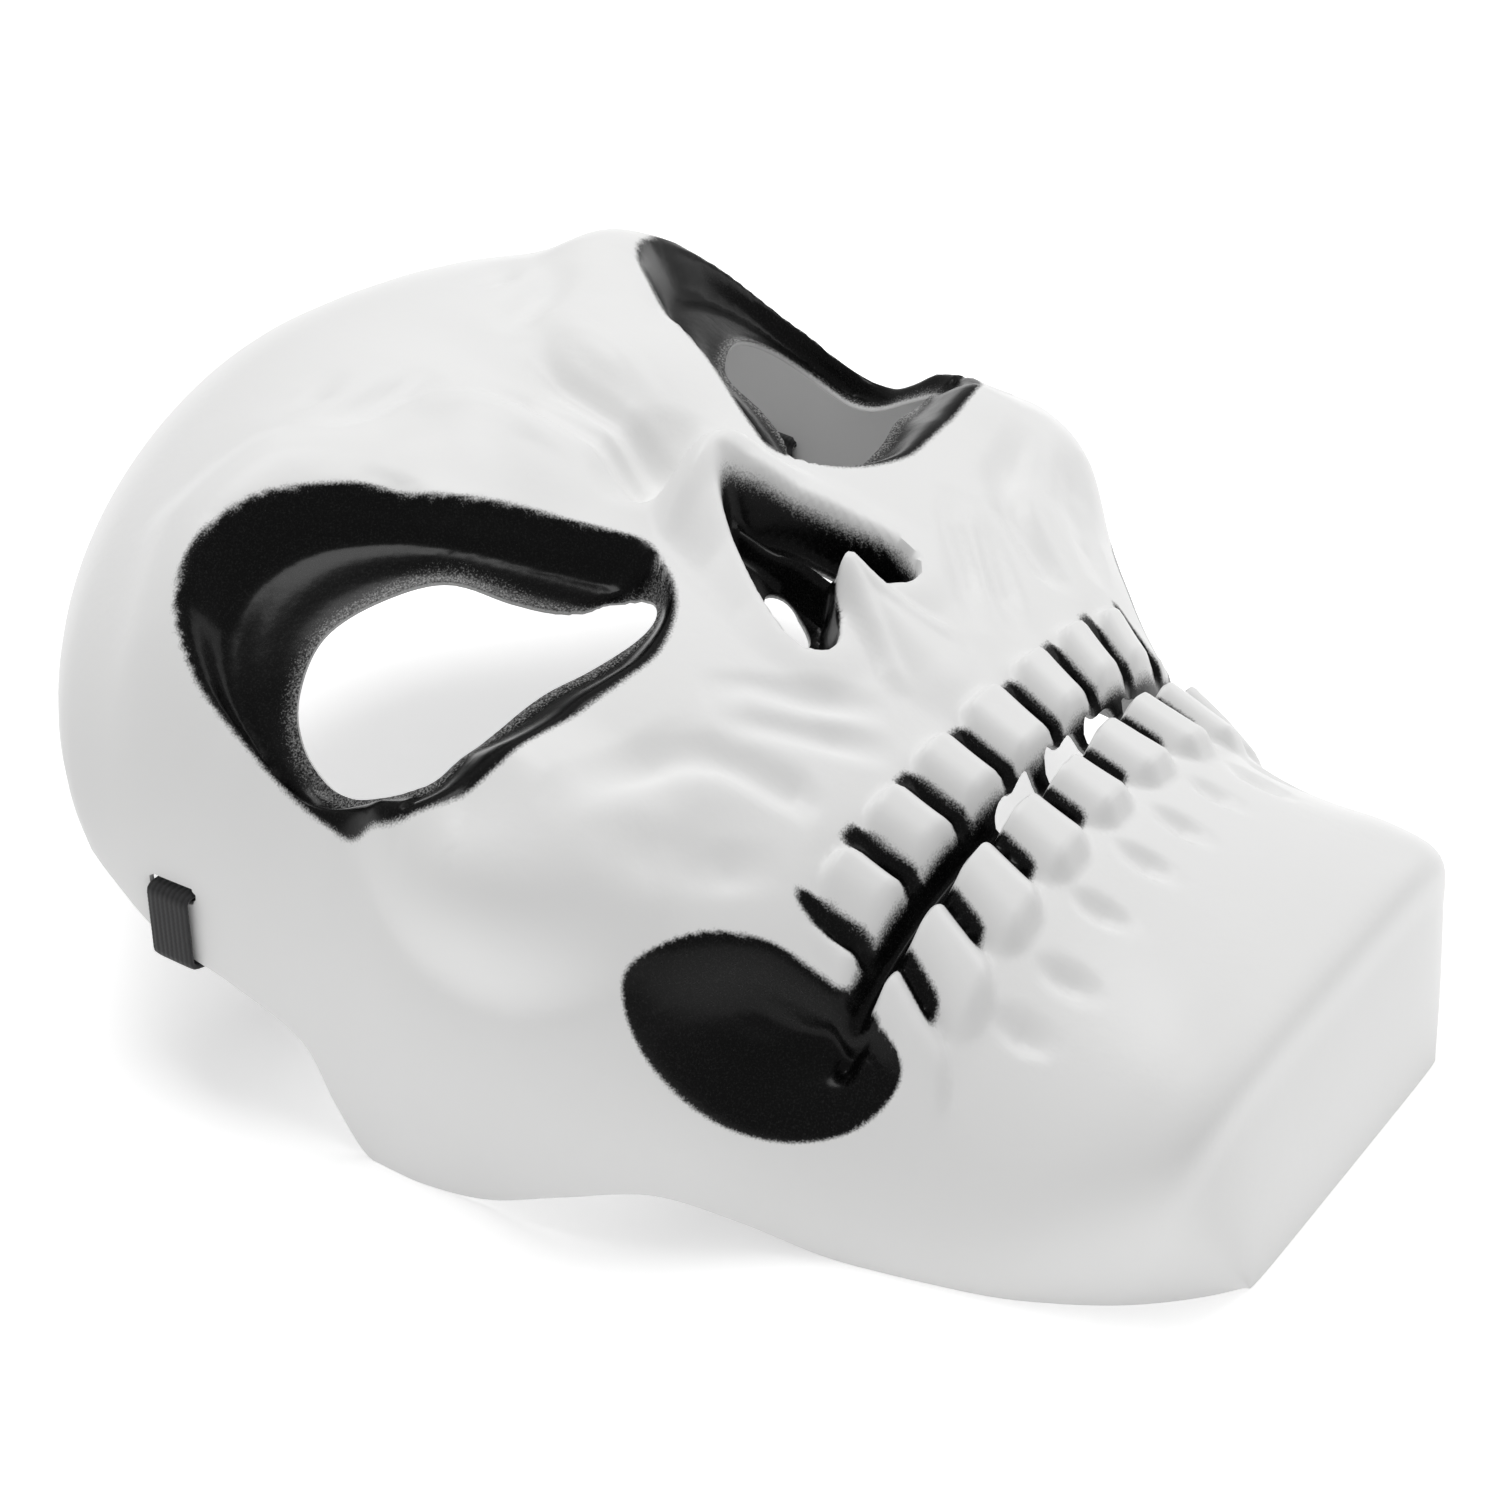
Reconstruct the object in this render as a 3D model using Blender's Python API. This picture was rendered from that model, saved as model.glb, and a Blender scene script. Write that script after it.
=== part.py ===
"""Skull mask: one vacuum-formed sheet of white PVC with a woven elastic strap, lying on its back edge.

The face looks up (+Z), the chin points to -Y and the forehead to +Y. Everything is in metres.
Lengths in the tables are shares of the sizes that their comments name.
"""

import bmesh
import bpy
import numpy as np

# The sheet as a whole.
FACE_WIDTH = 0.168
FACE_LENGTH = 0.224
FACE_DEPTH = 0.093
SHEET = 0.001

# The relief that is pressed into it.
BROW_HEIGHT = 0.0035
BROW_REACH = 0.012
BRIDGE_DIP = 0.0065
CHEEKBONE_HEIGHT = 0.0085
EYE_WIDTH = 0.061
EYE_HEIGHT = 0.0665
EYE_DEPTH = 0.009
NOSE_WIDTH = 0.0326
NOSE_HEIGHT = 0.030
NOSE_DEPTH = 0.008
NOSE_RIM = 0.0015
NOSE_TIP = 0.011
NOSTRIL_WIDTH = 0.007
NOSTRIL_HEIGHT = 0.0095
TOOTH_WIDTH = 0.0126
TOOTH_GROOVE = 0.0036
TOOTH_HEIGHT = 0.0155
TOOTH_RELIEF = 0.0042
MOUTH_GROOVE = 0.0045
GUM_PIT = 0.002
CHEEK_LENGTH = 0.035
CHEEK_HEIGHT = 0.031
CHEEK_DEPTH = 0.006

# The gaps between the teeth that go through.
MOUTH_GAP_LENGTH = 0.0116
MOUTH_GAP_HEIGHT = 0.0038

# The strap and its slots.
STRAP_WIDTH = 0.008
STRAP_THICKNESS = 0.001
STRAP_TAIL = 0.007
SLOT_CLEARANCE = 0.001
SLOT_SIDE_CLEARANCE = 0.0005
STRAP_GAP = 0.0006
STRAP_FOLD_GAP = 0.0004
STRAP_BEND = 0.010

HALF_WIDTH = FACE_WIDTH / 2

# Sections across the face, from the chin's edge to the top of the forehead. Each arches from the
# rim on one side over the middle line to the other rim. y follows FACE_LENGTH, z follows
# FACE_DEPTH and x follows HALF_WIDTH. A higher square makes an arch more like a box.
SECTIONS = (
    # mid_y, mid_z, rim_x, rim_y, rim_z, square
    (-0.004, 0.000, 0.381, 0.000, 0.000, 6.0),
    (0.004, 0.161, 0.440, 0.018, 0.000, 5.5),
    (0.014, 0.312, 0.500, 0.040, 0.000, 5.2),
    (0.022, 0.409, 0.554, 0.065, 0.000, 4.6),
    (0.058, 0.452, 0.607, 0.098, 0.000, 3.4),
    (0.103, 0.484, 0.655, 0.136, 0.000, 2.5),
    (0.156, 0.516, 0.696, 0.188, 0.000, 2.15),
    (0.214, 0.554, 0.738, 0.246, 0.005, 2.2),
    (0.272, 0.608, 0.798, 0.299, 0.054, 2.3),
    (0.330, 0.677, 0.875, 0.350, 0.102, 2.8),
    (0.393, 0.753, 0.940, 0.406, 0.075, 3.5),
    (0.455, 0.817, 0.964, 0.464, 0.016, 4.1),
    (0.513, 0.866, 0.982, 0.518, 0.000, 4.1),
    (0.567, 0.903, 0.982, 0.560, 0.000, 3.7),
    (0.616, 0.941, 0.982, 0.589, 0.086, 3.3),
    (0.665, 0.968, 0.982, 0.616, 0.194, 3.1),
    (0.714, 0.989, 0.994, 0.670, 0.258, 3.0),
    (0.772, 1.000, 1.000, 0.728, 0.301, 2.9),
    (0.833, 0.984, 1.000, 0.770, 0.376, 2.3),
    (0.888, 0.946, 0.988, 0.799, 0.441, 2.0),
    (0.940, 0.871, 0.905, 0.828, 0.489, 1.8),
    (0.973, 0.769, 0.774, 0.853, 0.516, 1.8),
    (0.993, 0.645, 0.643, 0.880, 0.527, 2.1),
    (1.000, 0.527, 0.530, 0.906, 0.527, 2.6),
)

# Row and column spacing of the sheet's mesh, finer over the mouth and nose.
ROW_STEPS = (
    # y as a share of FACE_LENGTH, rows up to there
    (0.022, 3),
    (0.170, 3),
    (0.335, 11),
    (0.375, 2),
    (0.540, 12),
    (0.780, 8),
    (1.000, 5),
)
COLUMNS = 56

# Middles of the hollows. x follows HALF_WIDTH, y follows FACE_LENGTH, z follows FACE_DEPTH.
EYE_MIDDLE = (0.548, 0.585)
NOSE_MIDDLE = (0.0, 0.442)
NOSTRIL_MIDDLE = (0.071, 0.442)
CHEEK_MIDDLE = (0.295, 0.387)

# Outlines about those middles, as shares of the hollow's own width and height.
EYE_OUTLINE = (
    # x of EYE_WIDTH, y of EYE_HEIGHT: the edge of the socket
    (-0.475, -0.195), (-0.426, -0.098), (-0.328, 0.068), (-0.230, 0.233), (-0.098, 0.421),
    (0.066, 0.534), (0.246, 0.579), (0.393, 0.556), (0.484, 0.421), (0.525, 0.241),
    (0.541, 0.030), (0.541, -0.165), (0.451, -0.338), (0.279, -0.361), (0.082, -0.398),
    (-0.131, -0.421), (-0.328, -0.398), (-0.443, -0.323),
)
EYE_OPENING = (
    # x of EYE_WIDTH, y of EYE_HEIGHT: the cut-out in the socket's floor
    (-0.459, -0.211), (-0.361, -0.128), (-0.246, -0.023), (-0.148, 0.135), (0.016, 0.241),
    (0.180, 0.286), (0.320, 0.263), (0.402, 0.150), (0.443, 0.015), (0.443, -0.105),
    (0.377, -0.188), (0.230, -0.241), (0.098, -0.271), (-0.016, -0.304), (-0.148, -0.331),
    (-0.295, -0.326), (-0.418, -0.286),
)
NOSE_OUTLINE = (
    # x of NOSE_WIDTH, y of NOSE_HEIGHT: one half, from the top to the spine between the lobes
    (0.000, 0.583), (0.153, 0.483), (0.291, 0.283), (0.414, 0.050), (0.500, -0.200),
    (0.460, -0.367), (0.337, -0.407), (0.215, -0.347), (0.107, -0.250), (0.000, -0.217),
)
NOSTRIL_OUTLINE = (
    # x of NOSTRIL_WIDTH, y of NOSTRIL_HEIGHT
    (-0.37, 0.47), (0.00, 0.50), (0.37, 0.16), (0.52, -0.24), (0.34, -0.46), (-0.06, -0.38),
    (-0.38, -0.04), (-0.48, 0.26),
)
CHEEK_OUTLINE = (
    # y of CHEEK_LENGTH, z of CHEEK_HEIGHT, seen from the side
    (0.514, 0.258), (0.500, 0.435), (0.343, 0.500), (0.143, 0.419), (-0.057, 0.242),
    (-0.257, 0.081), (-0.457, -0.065), (-0.471, -0.258), (-0.343, -0.435), (-0.114, -0.500),
    (0.114, -0.403), (0.371, -0.081),
)

# Soft ridges. x follows HALF_WIDTH, y follows FACE_LENGTH, height follows BROW_HEIGHT and reach,
# the half width of the ridge, follows BROW_REACH.
BROW_RIDGE = (
    # x, y, height, reach
    (0.357, 0.705, 0.286, 0.83),
    (0.500, 0.763, 0.857, 0.92),
    (0.667, 0.786, 1.000, 1.00),
    (0.833, 0.759, 0.714, 0.92),
    (0.929, 0.679, 0.286, 0.67),
)
BROW_VALLEY = (
    # x, y, height, reach
    (0.0, 0.589, -0.286, 0.67),
    (0.0, 0.670, -0.514, 0.75),
    (0.0, 0.768, -0.229, 0.83),
    (0.0, 0.830, 0.000, 0.92),
)
NOSE_SPINE = (
    # x, y, height, reach
    (0.0, 0.411, 1.714, 0.42),
    (0.0, 0.388, 1.286, 0.54),
    (0.0, 0.339, 0.571, 0.83),
)
# How the nose's rim stands up: y as a share of FACE_LENGTH, height as a share of NOSE_TIP, and
# the reach of its outer fall as a share of BROW_REACH.
NOSE_CREST = (
    # y, height, reach
    (0.384, 0.000, 0.50),
    (0.446, 0.027, 0.58),
    (0.482, 0.182, 0.75),
    (0.509, 0.545, 0.88),
    (0.522, 0.864, 0.92),
)

# The mouth: where its line crosses the middle as a share of FACE_LENGTH, and how far it rises
# towards the corners for each metre of x. The grooves between teeth are shares of TOOTH_WIDTH
# from the middle line; a row of teeth ends at the last share.
MOUTH_LINE = 0.247
MOUTH_RISE = 0.06
UPPER_GROOVES = (0.58, 1.60, 2.58, 3.49)
LOWER_GROOVES = (0.48, 1.46, 2.42, 3.25, 3.93)
UPPER_END = 3.97
LOWER_END = 4.29
GUM_PITS = (
    # x of TOOTH_WIDTH, y below the mouth line of TOOTH_HEIGHT
    (0.44, 1.31),
    (1.43, 1.34),
    (2.38, 1.48),
    (3.10, 1.40),
)
MOUTH_GAPS = (
    # x of TOOTH_WIDTH, length of MOUTH_GAP_LENGTH, height of MOUTH_GAP_HEIGHT
    (-0.60, 1.00, 1.00),
    (0.56, 1.00, 1.05),
    (1.59, 0.97, 0.90),
    (2.50, 0.62, 0.74),
)

# Middle of a strap slot: y of FACE_LENGTH, z of FACE_DEPTH.
SLOT_MIDDLE = (0.7165, 0.412)


def ease(t):
    """Smooth step from 0 to 1."""
    t = np.clip(t, 0, 1)
    return t * t * (3 - 2 * t)


def bell(t):
    """Round bump of height 1 that ends at t = 1."""
    return np.clip(1 - t * t, 0, None) ** 2


def spline(before, start, end, after, f):
    """Catmull-Rom spline from start to end."""
    first = f * (end - before)
    second = f**2 * (2 * before - 5 * start + 4 * end - after)
    third = f**3 * (3 * (start - end) + after - before)
    return start + 0.5 * (first + second + third)


def closed_curve(points, steps):
    """Smooth closed curve through the points."""
    points = np.asarray(points, float)
    fractions = np.linspace(0, 1, steps, endpoint=False)[None, :, None]
    corners = [np.roll(points, shift, axis=0)[:, None, :] for shift in (1, 0, -1, -2)]
    return spline(*corners, fractions).reshape(-1, 2)


def scaled(outline, middle, sizes, middle_sizes):
    """Outline shares as lengths about the middle."""
    return np.array(outline) * sizes + np.array(middle) * middle_sizes


PLAN = (HALF_WIDTH, FACE_LENGTH)
EYE_EDGE = scaled(EYE_OUTLINE, EYE_MIDDLE, (EYE_WIDTH, EYE_HEIGHT), PLAN)
EYE_CUT = scaled(EYE_OPENING, EYE_MIDDLE, (EYE_WIDTH, EYE_HEIGHT), PLAN)
NOSE_HALF = scaled(NOSE_OUTLINE, NOSE_MIDDLE, (NOSE_WIDTH, NOSE_HEIGHT), PLAN)
NOSE_EDGE = np.vstack([NOSE_HALF, NOSE_HALF[-2:0:-1] * (-1, 1)])
NOSTRIL_CUT = scaled(NOSTRIL_OUTLINE, NOSTRIL_MIDDLE, (NOSTRIL_WIDTH, NOSTRIL_HEIGHT), PLAN)
CHEEK_EDGE = scaled(CHEEK_OUTLINE, CHEEK_MIDDLE, (CHEEK_LENGTH, CHEEK_HEIGHT), (FACE_LENGTH, FACE_DEPTH))


def share_of_outline(a, b, outline, middle):
    """Distance from the middle, as a share of the outline's own distance in that direction."""
    curve = closed_curve(outline, 12) - middle
    angle = np.arctan2(curve[:, 1], curve[:, 0])
    order = np.argsort(angle)
    angle = angle[order]
    reach = np.hypot(curve[:, 0], curve[:, 1])[order]
    angle = np.concatenate([angle - 2 * np.pi, angle, angle + 2 * np.pi])
    toward = np.arctan2(b - middle[1], a - middle[0])
    return np.hypot(a - middle[0], b - middle[1]) / np.interp(toward, angle, np.tile(reach, 3))


def from_line(x, y, points):
    """Distance to a chain of points, and the values after each x and y at its nearest place."""
    points = np.asarray(points, float)
    nearest = np.full(np.shape(x), np.inf)
    values = np.zeros(np.shape(x) + (points.shape[1] - 2,))
    for start, end in zip(points[:-1], points[1:]):
        way = end - start
        t = ((x - start[0]) * way[0] + (y - start[1]) * way[1]) / (way[:2] @ way[:2])
        t = np.clip(t, 0, 1)
        distance = np.hypot(x - start[0] - t * way[0], y - start[1] - t * way[1])
        closer = distance < nearest
        nearest = np.where(closer, distance, nearest)
        values = np.where(closer[..., None], start[2:] + t[..., None] * way[2:], values)
    return nearest, values


def ridge(x, y, table):
    """Height of a soft ridge along the table's points."""
    points = np.array(table) * (HALF_WIDTH, FACE_LENGTH, BROW_HEIGHT, BROW_REACH)
    distance, values = from_line(x, y, points)
    return values[..., 0] * bell(distance / values[..., 1])


def socket_height(x, y):
    """Eye sockets: a steep wall inside the outline, then a floor that sinks to the opening."""
    middle = np.array(EYE_MIDDLE) * PLAN
    edge = share_of_outline(x, y, EYE_EDGE, middle)
    opening = share_of_outline(x, y, EYE_CUT, middle)
    inward = np.where(opening < 1, 1, (1 - edge) / np.maximum(1 - edge / opening, 1e-6))
    upper = ease((y - 0.1 * x - 0.473 * FACE_LENGTH) / (0.21 * EYE_HEIGHT))
    deep = EYE_DEPTH * (0.61 + 0.39 * upper)
    fall = 0.75 * ease(inward / 0.42) + 0.25 * ease(inward)
    return np.where(edge < 1, -deep * fall, 0)


def nose_height(x, y):
    """Nose: a rim that rises to a tip over the top of the opening, and a sunken floor."""
    crest = np.array(NOSE_CREST)
    curve = closed_curve(NOSE_EDGE, 4)
    outside, _ = from_line(x, y, np.vstack([curve, curve[:1]]))
    middle = np.array(NOSE_MIDDLE) * PLAN
    within = share_of_outline(x, y, NOSE_EDGE, middle) < 1
    place = y / FACE_LENGTH
    height = NOSE_RIM + NOSE_TIP * np.interp(place, crest[:, 0], crest[:, 1])
    reach = BROW_REACH * np.interp(place, crest[:, 0], crest[:, 2])
    rim = height * np.where(within, 1, bell(np.minimum(outside / reach, 1)))
    rim = rim + ridge(x, y, NOSE_SPINE)
    low = ease((0.464 * FACE_LENGTH - y) / (0.27 * NOSE_HEIGHT))
    floor = -NOSE_DEPTH * (0.75 + 0.25 * low - 0.19 * bell(x / (0.09 * NOSE_WIDTH)))
    sunk = np.where(within, ease(outside / (0.1 * NOSE_WIDTH)), 0)
    return rim * (1 - sunk) + floor * sunk


def teeth_height(x, y):
    """Two rows of teeth with grooves between them, the mouth line and the pits below the gum."""
    line = MOUTH_LINE * FACE_LENGTH + MOUTH_RISE * x
    total = 0
    rows = ((1, UPPER_GROOVES, UPPER_END, 0.43), (-1, LOWER_GROOVES, LOWER_END, 0.20))
    for side, grooves, end, sunk in rows:
        away = side * (y - line) / TOOTH_HEIGHT
        band = ease((away - 0.06) / 0.12) * ease((1 - away) / 0.25)
        groove = np.min([np.abs(x - share * TOOTH_WIDTH) for share in grooves], axis=0)
        crown = ease(groove / TOOTH_GROOVE) - sunk
        total = total + TOOTH_RELIEF * band * crown * ease((end - x / TOOTH_WIDTH) / 0.32)
    mouth = bell((y - line) / (0.21 * TOOTH_HEIGHT)) * ease((4.45 - x / TOOTH_WIDTH) / 0.4)
    total = total - MOUTH_GROOVE * mouth
    for across, below in GUM_PITS:
        a = (x - across * TOOTH_WIDTH) / (0.25 * TOOTH_WIDTH)
        b = (y - MOUTH_LINE * FACE_LENGTH + below * TOOTH_HEIGHT) / (0.42 * TOOTH_HEIGHT)
        total = total - GUM_PIT * bell(np.hypot(a, b))
    return total


def relief(x, y):
    """Height of everything that is pressed into the front of the face."""
    x = np.abs(x)
    a = (x / HALF_WIDTH - 0.202) / 0.179
    b = (y / FACE_LENGTH - 0.656) / 0.089
    brow = 0.857 * BROW_HEIGHT * bell(np.hypot(a, b))
    brow = brow + ridge(x, y, BROW_RIDGE) + ridge(x, y, BROW_VALLEY)
    a = x / HALF_WIDTH / 0.179
    b = (y / FACE_LENGTH - 0.574) / 0.042
    bridge = -BRIDGE_DIP * bell(np.hypot(a, b))
    return brow + bridge + socket_height(x, y) + nose_height(x, y) + teeth_height(x, y)


def arches(u, v):
    """The face without relief. u runs from rim to rim as -1 to 1, v from chin to forehead as 0 to 1."""
    table = np.array(SECTIONS)
    last = len(table) - 1
    at = np.clip(v, 0, 1) * last
    row = np.minimum(at.astype(int), last - 1)
    rows = np.vstack([2 * table[0] - table[1], table, 2 * table[-1] - table[-2]])
    found = spline(rows[row], rows[row + 1], rows[row + 2], rows[row + 3], (at - row)[..., None])
    mid_y, mid_z, rim_x, rim_y, rim_z, square = np.moveaxis(found, -1, 0)
    turn = np.abs(u) * np.pi / 2
    s = np.sin(turn)
    c = np.cos(turn)
    size = (s**square + c**square) ** (1 / square)
    x = np.sign(u) * rim_x * s / size
    y = rim_y + (mid_y - rim_y) * c / size
    z = np.maximum(rim_z + (mid_z - rim_z) * c / size, 0)
    return np.stack([x * HALF_WIDTH, y * FACE_LENGTH, z * FACE_DEPTH], axis=-1)


def square_to(points):
    """Unit vectors square to a grid of points."""
    square = np.cross(np.gradient(points, axis=1), np.gradient(points, axis=0))
    return square / np.maximum(np.linalg.norm(square, axis=-1, keepdims=True), 1e-12)


def face(u, v):
    """The outer and the inner side of the sheet, with cheekbones and cheek hollows pressed in square to it.

    The inner side lies halfway between square to the arches and square to the relief, so the sheet
    thins where the relief is steep, as drawn plastic does. At the table it lies level with the outer
    side, and at the chin's two corners it takes its way from the points beside them.
    """
    points = arches(u, v)
    square = square_to(points)
    x = np.abs(points[..., 0])
    y = points[..., 1]
    z = points[..., 2]
    bone = ((x / HALF_WIDTH - 0.869) / 0.31) ** 2
    bone = bone + ((y / FACE_LENGTH - 0.464) / 0.134) ** 2
    bone = bone + ((z / FACE_DEPTH - 0.667) / 0.258) ** 2
    middle = np.array(CHEEK_MIDDLE) * (FACE_LENGTH, FACE_DEPTH)
    hollow = ease((1 - share_of_outline(y, z, CHEEK_EDGE, middle)) / 0.32)
    hollow = hollow * ease((x / HALF_WIDTH - 0.536) / 0.071)
    out = CHEEKBONE_HEIGHT * bell(np.sqrt(bone)) - CHEEK_DEPTH * hollow
    points = points + square * out[..., None]
    front = ease((points[..., 2] / FACE_DEPTH - 0.215) / 0.161)
    points[..., 2] += relief(points[..., 0], points[..., 1]) * front
    between = square + square_to(points)
    for side in (0, -1):
        beside = 1 if side == 0 else -2
        between[0, side] = between[0, beside] + between[1, side]
    between[..., 2] *= ease(points[..., 2] / FACE_DEPTH / 0.04)
    return points, points - SHEET * between / np.linalg.norm(between, axis=-1, keepdims=True)


def material(name, color, roughness):
    made = bpy.data.materials.new(name)
    made.use_nodes = True
    shader = made.node_tree.nodes["Principled BSDF"]
    shader.inputs["Base Color"].default_value = (*color, 1)
    shader.inputs["Roughness"].default_value = roughness
    shader.inputs["Metallic"].default_value = 0
    made.diffuse_color = (*color, 1)
    return made


def mesh_object(name, points, faces, parent):
    mesh = bpy.data.meshes.new(name)
    mesh.from_pydata([tuple(map(float, point)) for point in points], [], faces)
    made = bpy.data.objects.new(name, mesh)
    made.parent = parent
    bpy.context.collection.objects.link(made)
    return made


def grid_faces(rows, columns):
    """Quads of a grid whose points are numbered row by row."""
    first = [r * columns + c for r in range(rows - 1) for c in range(columns - 1)]
    return [(i, i + 1, i + columns + 1, i + columns) for i in first]


def split(quads, points):
    """Triangles of the quads, each split along its shorter diagonal."""
    made = []
    for a, b, c, d in quads:
        if np.sum((points[a] - points[c]) ** 2) < np.sum((points[b] - points[d]) ** 2):
            made += [(a, b, c), (a, c, d)]
        else:
            made += [(b, c, d), (b, d, a)]
    return made


def prism(name, outline, base, lift, parent):
    """Closed prism over an outline, used only to cut."""
    count = len(outline)
    low = np.column_stack([outline, np.full(count, base)])
    high = np.column_stack([outline, np.full(count, base + lift)])
    sides = [(i, (i + 1) % count, count + (i + 1) % count, count + i) for i in range(count)]
    ends = [tuple(range(count))[::-1], tuple(range(count, 2 * count))]
    made = mesh_object(name, np.vstack([low, high]), sides + ends, parent)
    shape = bmesh.new()
    shape.from_mesh(made.data)
    bmesh.ops.recalc_face_normals(shape, faces=shape.faces)
    shape.to_mesh(made.data)
    shape.free()
    made.hide_render = True
    made.display_type = "WIRE"
    return made


def cut(piece, cutter):
    boolean = piece.modifiers.new(cutter.name, "BOOLEAN")
    boolean.operation = "DIFFERENCE"
    boolean.solver = "EXACT"
    boolean.object = cutter


for old in list(bpy.data.objects):
    bpy.data.objects.remove(old)

# One frame for the whole mask, with its origin on the table under the middle of the shell.
mask = bpy.data.objects.new("mask", None)
bpy.context.collection.objects.link(mask)

# The shell.
fine = np.linspace(0, 1, 1200)
middle_y = arches(np.zeros_like(fine), fine)[..., 1] / FACE_LENGTH
steps = np.array(ROW_STEPS)
row_places = np.concatenate([[middle_y[0]], steps[:, 0]])
row_counts = np.concatenate([[0], np.cumsum(steps[:, 1])])
wanted = np.interp(np.arange(row_counts[-1] + 1), row_counts, row_places)
rows = np.interp(wanted, middle_y, fine)
spread = np.linspace(-1, 1, COLUMNS + 1)
columns = np.sign(spread) * np.abs(spread) ** 1.35
u, v = np.meshgrid(columns, rows)
outer, inner = face(u, v)
mask.location.y = -(outer[..., 1].min() + outer[..., 1].max()) / 2

across = len(columns)
count = len(rows) * across
outer_faces = split(grid_faces(len(rows), across), outer.reshape(-1, 3))
inner_faces = [tuple(count + i for i in face_points[::-1]) for face_points in outer_faces]
edge = [*range(across), *range(2 * across - 1, count, across)]
edge = edge + [*range(count - 2, count - across - 1, -1), *range(count - 2 * across, 0, -across)]
rim_faces = [(b, a, count + a, count + b) for a, b in zip(edge, edge[1:] + edge[:1])]
sheet_points = np.vstack([outer.reshape(-1, 3), inner.reshape(-1, 3)])
shell = mesh_object("mask_shell", sheet_points, outer_faces + inner_faces + rim_faces, mask)
shell.data.materials.append(material("white_pvc", (0.80, 0.80, 0.79), 0.32))

for side, name in ((1, "right"), (-1, "left")):
    eye = closed_curve(EYE_CUT, 3) * (side, 1)
    cut(shell, prism(f"eye_{name}_cut", eye, 0.4 * FACE_DEPTH, FACE_DEPTH, mask))
    nostril = closed_curve(NOSTRIL_CUT, 2) * (side, 1)
    cut(shell, prism(f"nostril_{name}_cut", nostril, 0.4 * FACE_DEPTH, FACE_DEPTH, mask))

turns = np.linspace(0, 2 * np.pi, 16, endpoint=False)
for number, (across, long, high) in enumerate(MOUTH_GAPS):
    x = across * TOOTH_WIDTH
    c = np.sign(np.cos(turns)) * np.abs(np.cos(turns)) ** 0.5
    gap = np.column_stack(
        [
            x + 0.5 * long * MOUTH_GAP_LENGTH * c,
            MOUTH_LINE * FACE_LENGTH
            + MOUTH_RISE * abs(x)
            + 0.5 * high * MOUTH_GAP_HEIGHT * np.sin(turns),
        ]
    )
    cut(shell, prism(f"mouth_gap_{number}_cut", gap, 0.2 * FACE_DEPTH, FACE_DEPTH, mask))

# The wall beside a slot: how far out the sheet stands at each height.
slot_y = SLOT_MIDDLE[0] * FACE_LENGTH
slot_z = SLOT_MIDDLE[1] * FACE_DEPTH
side_u, side_v = np.meshgrid(np.linspace(0.7, 1, 200), np.linspace(0.55, 0.9, 400))
wall = face(side_u, side_v)[0].reshape(-1, 3)
wall = wall[np.abs(wall[:, 1] - slot_y) < 0.25 * STRAP_WIDTH]
wall = wall[np.argsort(wall[:, 2])]
rim_z = wall[:, 2].min()


def wall_x(z):
    """Outer face of the wall at this height, beside a slot."""
    return np.interp(z, wall[:, 2], np.maximum.accumulate(wall[:, 0][::-1])[::-1])


slot_high = STRAP_THICKNESS + 2 * SLOT_CLEARANCE
slot_long = STRAP_WIDTH + 2 * SLOT_SIDE_CLEARANCE
slot_deep = 6 * SHEET
for side, name in ((1, "right"), (-1, "left")):
    near = wall_x(slot_z) - slot_deep
    far = wall_x(slot_z) + slot_deep
    low = slot_y - slot_long / 2
    high = slot_y + slot_long / 2
    corners = np.array([(near, low), (far, low), (far, high), (near, high)]) * (side, 1)
    cut(shell, prism(f"slot_{name}_cut", corners, slot_z - slot_high / 2, slot_high, mask))

# The strap. Each end comes from behind, turns up round the edge, goes in through the slot and down
# inside the wall to lie on the strap, to which it is stitched. The middle lies on the table.
inside = wall_x(slot_z) - SHEET - STRAP_GAP - STRAP_THICKNESS / 2
outside = wall_x(rim_z) + STRAP_GAP + STRAP_THICKNESS / 2
turn = rim_z - STRAP_GAP - STRAP_THICKNESS / 2
flat = STRAP_THICKNESS / 2
knee = np.array((0.83 * HALF_WIDTH, 0.8 * turn))
landing = 0.60 * HALF_WIDTH
run = (knee - (outside, turn)) / np.hypot(*(knee - (outside, turn)))
above = (STRAP_THICKNESS + STRAP_FOLD_GAP) / -run[0]
overlap = np.array((inside, turn + (inside - outside) * run[1] / run[0] + above))
tail = overlap + STRAP_TAIL * run
corner = 1.2 * STRAP_THICKNESS
half_route = (
    # x, z, length of the rounding on each side of the corner
    (*tail, 0),
    (*overlap, corner),
    (inside, slot_z, corner),
    (outside, slot_z, corner),
    (outside, turn, corner),
    (*knee, 0.6 * STRAP_BEND),
    (landing, flat, STRAP_BEND),
    (0, flat, 0),
)


def rounded(route, steps):
    """Points along straight runs whose corners are rounded."""
    corners = np.array(route, float)
    points = [corners[0, :2]]
    for before, corner, after in zip(corners[:-2], corners[1:-1], corners[2:]):
        back = before[:2] - corner[:2]
        ahead = after[:2] - corner[:2]
        start = corner[:2] + back / np.hypot(*back) * corner[2]
        end = corner[:2] + ahead / np.hypot(*ahead) * corner[2]
        for t in np.linspace(0, 1, steps):
            points.append((1 - t) ** 2 * start + 2 * t * (1 - t) * corner[:2] + t**2 * end)
    points.append(corners[-1, :2])
    return np.array(points)


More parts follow.
